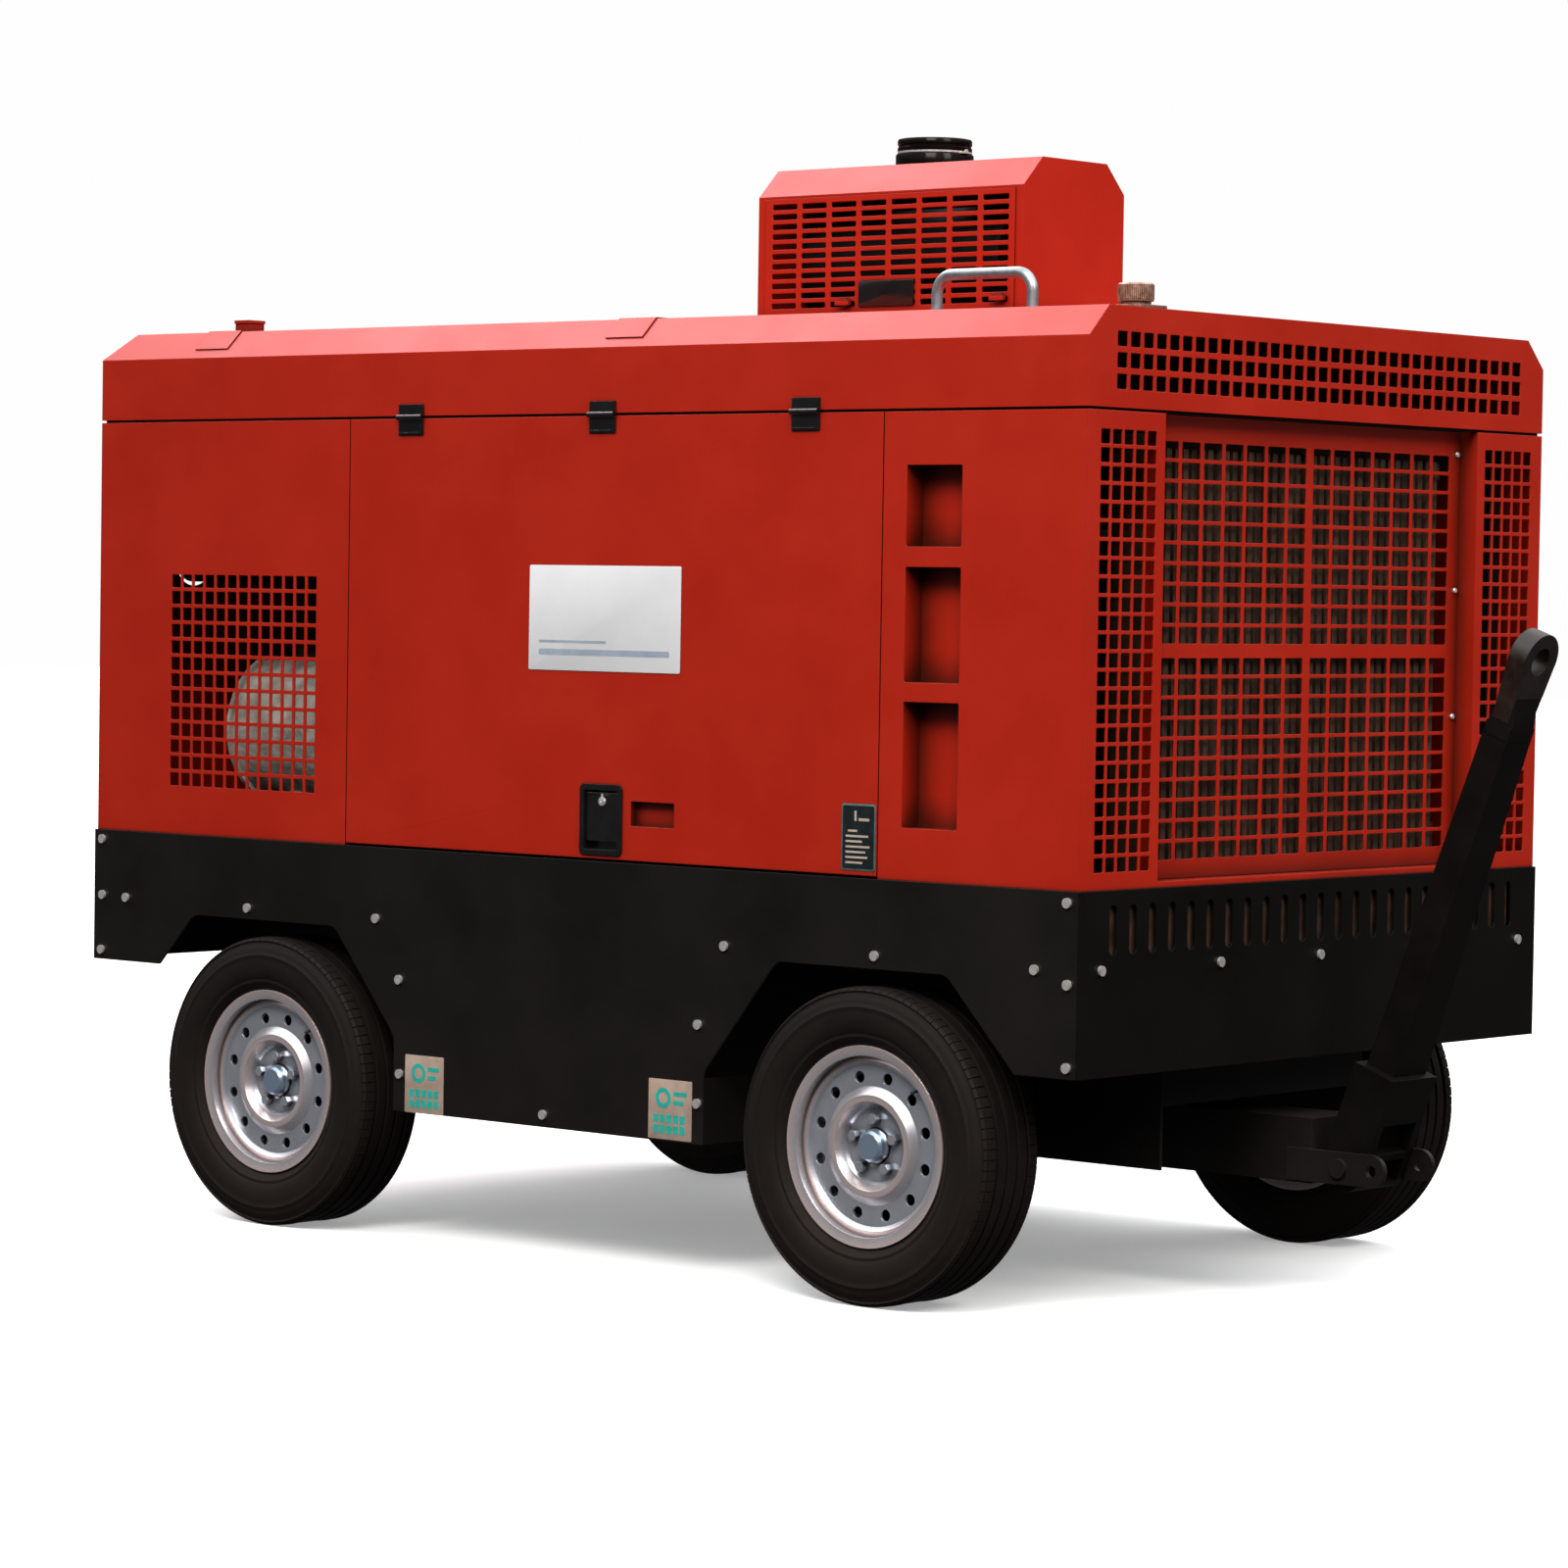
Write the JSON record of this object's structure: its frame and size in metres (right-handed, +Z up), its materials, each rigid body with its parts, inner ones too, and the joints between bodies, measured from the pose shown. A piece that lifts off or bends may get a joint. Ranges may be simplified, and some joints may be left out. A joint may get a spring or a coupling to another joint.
{
  "type": "towable diesel air compressor",
  "caption": "Enclosed towable diesel screw compressor on a steered trailer, with lifting side doors, cooler grille, roof air box and raised drawbar.",
  "frame": {"origin": "on the ground under the middle of the overall box", "axes": "+X towards the towing end, +Y to the right side, +Z up"},
  "size_m": [3.6799, 1.805, 2.618],
  "materials": {
    "red_sheet": "red powder coat on steel sheet, satin",
    "black_skirt": "black powder coat, satin",
    "black_chassis": "black chassis paint, satin",
    "forged_eye": "dark forging",
    "tank_plastic": "black rotomoulded tank",
    "deck_grey": "dark primed floor",
    "bolt_steel": "bright zinc and chrome",
    "latch_black": "gloss black die casting",
    "galvanised": "galvanised tube",
    "neck_metal": "tarnished brass",
    "collar_black": "gloss black moulded collar",
    "engine_paint": "grey engine enamel on iron",
    "fan_plastic": "black nylon",
    "shroud_black": "black sheet",
    "cooler_alloy": "dusty brazed aluminium",
    "receiver_paint": "grey enamel",
    "silencer_skin": "aluminised sheet",
    "battery_case": "black polypropylene",
    "cabinet_grey": "grey cabinet",
    "valve_brass": "steel pipe and valve",
    "tyre_rubber": "black tyre rubber",
    "wheel_silver": "silver wheel enamel"
  },
  "bodies": {
    "chassis": {"chassis_frame": "black_chassis", "deck_plate": "deck_grey", "fuel_tank": "tank_plastic", "side_skirts": "black_skirt", "front_skirt": "black_skirt", "rear_skirt": "black_skirt", "skirt_bolts": "bolt_steel", "axle_beams": "black_chassis", "leaf_springs": "black_chassis", "canopy_posts": "black_chassis", "roof_shell": "red_sheet", "roof_straps": "red_sheet", "left_rear_panel": "red_sheet", "left_front_panel": "red_sheet", "right_side_panels": "red_sheet", "front_surround": "red_sheet", "front_grille": "red_sheet", "rear_panel": "red_sheet", "hinge_leaves": "latch_black", "grab_handle": "galvanised", "intake_box": "red_sheet", "intake_cover": "red_sheet", "intake_collar": "collar_black", "filler_neck": "neck_metal", "roof_vent": "red_sheet", "engine": "engine_paint", "fan_shroud": "shroud_black", "cooler_pack": "cooler_alloy", "airend": "engine_paint", "separator_tank": "receiver_paint", "air_cleaner": "fan_plastic", "silencer": "silencer_skin", "battery": "battery_case", "control_panel": "cabinet_grey", "outlet_valve": "valve_brass"},
    "left_door": {"left_door": "red_sheet", "left_door_hardware": "latch_black"},
    "left_paddle": {"left_paddle": "latch_black"},
    "right_door": {"right_door": "red_sheet", "right_door_hardware": "latch_black"},
    "right_paddle": {"right_paddle": "latch_black"},
    "coolant_cap": {"coolant_cap": "neck_metal"},
    "fan": {"fan": "fan_plastic"},
    "valve_lever": {"valve_lever": "valve_brass"},
    "rear_wing_latch": {"rear_wing_latch": "red_sheet"},
    "front_wing_latch": {"front_wing_latch": "red_sheet"},
    "steer_head": {"steer_head": "black_chassis"},
    "left_knuckle": {"left_knuckle": "black_chassis"},
    "right_knuckle": {"right_knuckle": "black_chassis"},
    "tie_rod": {"tie_rod": "black_chassis"},
    "drawbar": {"drawbar": "black_chassis", "tow_eye": "forged_eye"},
    "front_left_wheel": {"front_left_tyre": "tyre_rubber", "front_left_wheel": "wheel_silver"},
    "front_right_wheel": {"front_right_tyre": "tyre_rubber", "front_right_wheel": "wheel_silver"},
    "rear_left_wheel": {"rear_left_tyre": "tyre_rubber", "rear_left_wheel": "wheel_silver"},
    "rear_right_wheel": {"rear_right_tyre": "tyre_rubber", "rear_right_wheel": "wheel_silver"}
  },
  "joints": [
    {"name": "left_door_hinge", "type": "hinge", "parent": "chassis", "child": "left_door", "pos_m": [-0.12995, -0.877, 1.943], "axis": [-1, 0, 0], "range_deg": [0, 85]},
    {"name": "left_paddle_hinge", "type": "hinge", "parent": "left_door", "child": "left_paddle", "pos_m": [-0.11745, -0.8645, 1.084], "axis": [-1, 0, 0], "range_deg": [0, 35], "stiffness_Nm_per_rad": 0.6},
    {"name": "right_door_hinge", "type": "hinge", "parent": "chassis", "child": "right_door", "pos_m": [-0.12995, 0.877, 1.943], "axis": [1, 0, 0], "range_deg": [0, 85]},
    {"name": "right_paddle_hinge", "type": "hinge", "parent": "right_door", "child": "right_paddle", "pos_m": [-0.11745, 0.8645, 1.084], "axis": [1, 0, 0], "range_deg": [0, 35], "stiffness_Nm_per_rad": 0.6},
    {"name": "coolant_cap_turn", "type": "hinge", "parent": "chassis", "child": "coolant_cap", "pos_m": [1.19005, -0.628, 2.201], "axis": [0, 0, 1], "range_deg": [0, 90]},
    {"name": "fan_spin", "type": "hinge", "parent": "chassis", "child": "fan", "pos_m": [1.01005, 0, 1.35], "axis": [1, 0, 0], "continuous": true},
    {"name": "outlet_lever_turn", "type": "hinge", "parent": "chassis", "child": "valve_lever", "pos_m": [-1.68495, -0.2, 1.17], "axis": [0, 0, -1], "range_deg": [0, 90]},
    {"name": "rear_wing_latch_turn", "type": "hinge", "parent": "chassis", "child": "rear_wing_latch", "pos_m": [0.00705, -0.198, 2.226], "axis": [0, 1, 0], "range_deg": [0, 90]},
    {"name": "front_wing_latch_turn", "type": "hinge", "parent": "chassis", "child": "front_wing_latch", "pos_m": [0.47005, -0.198, 2.226], "axis": [0, 1, 0], "range_deg": [0, 90]},
    {"name": "steering", "type": "hinge", "parent": "chassis", "child": "steer_head", "pos_m": [0.68705, 0, 0.348], "axis": [0, 0, 1], "range_deg": [-20, 20]},
    {"name": "left_kingpin", "type": "hinge", "parent": "chassis", "child": "left_knuckle", "pos_m": [0.68705, -0.64, 0.348], "axis": [0, 0, 1], "range_deg": [-20, 20]},
    {"name": "right_kingpin", "type": "hinge", "parent": "chassis", "child": "right_knuckle", "pos_m": [0.68705, 0.64, 0.348], "axis": [0, 0, 1], "range_deg": [-20, 20]},
    {"name": "tie_rod_pin", "type": "hinge", "parent": "steer_head", "child": "tie_rod", "pos_m": [0.53705, 0, 0.318], "axis": [0, 0, 1], "range_deg": [-20, 20]},
    {"name": "drawbar_lift", "type": "hinge", "parent": "steer_head", "child": "drawbar", "pos_m": [1.39005, 0, 0.303], "axis": [0, 1, 0], "range_deg": [-12, 80]},
    {"name": "front_left_spin", "type": "hinge", "parent": "left_knuckle", "child": "front_left_wheel", "pos_m": [0.68705, -0.8, 0.348], "axis": [0, 1, 0], "continuous": true},
    {"name": "front_right_spin", "type": "hinge", "parent": "right_knuckle", "child": "front_right_wheel", "pos_m": [0.68705, 0.8, 0.348], "axis": [0, 1, 0], "continuous": true},
    {"name": "rear_left_spin", "type": "hinge", "parent": "chassis", "child": "rear_left_wheel", "pos_m": [-1.19795, -0.8, 0.348], "axis": [0, 1, 0], "continuous": true},
    {"name": "rear_right_spin", "type": "hinge", "parent": "chassis", "child": "rear_right_wheel", "pos_m": [-1.19795, 0.8, 0.348], "axis": [0, 1, 0], "continuous": true}
  ],
  "couplings": [
    {"joint": "left_kingpin", "follows": "steering", "ratio": 1},
    {"joint": "right_kingpin", "follows": "steering", "ratio": 1},
    {"joint": "tie_rod_pin", "follows": "steering", "ratio": -1}
  ]
}
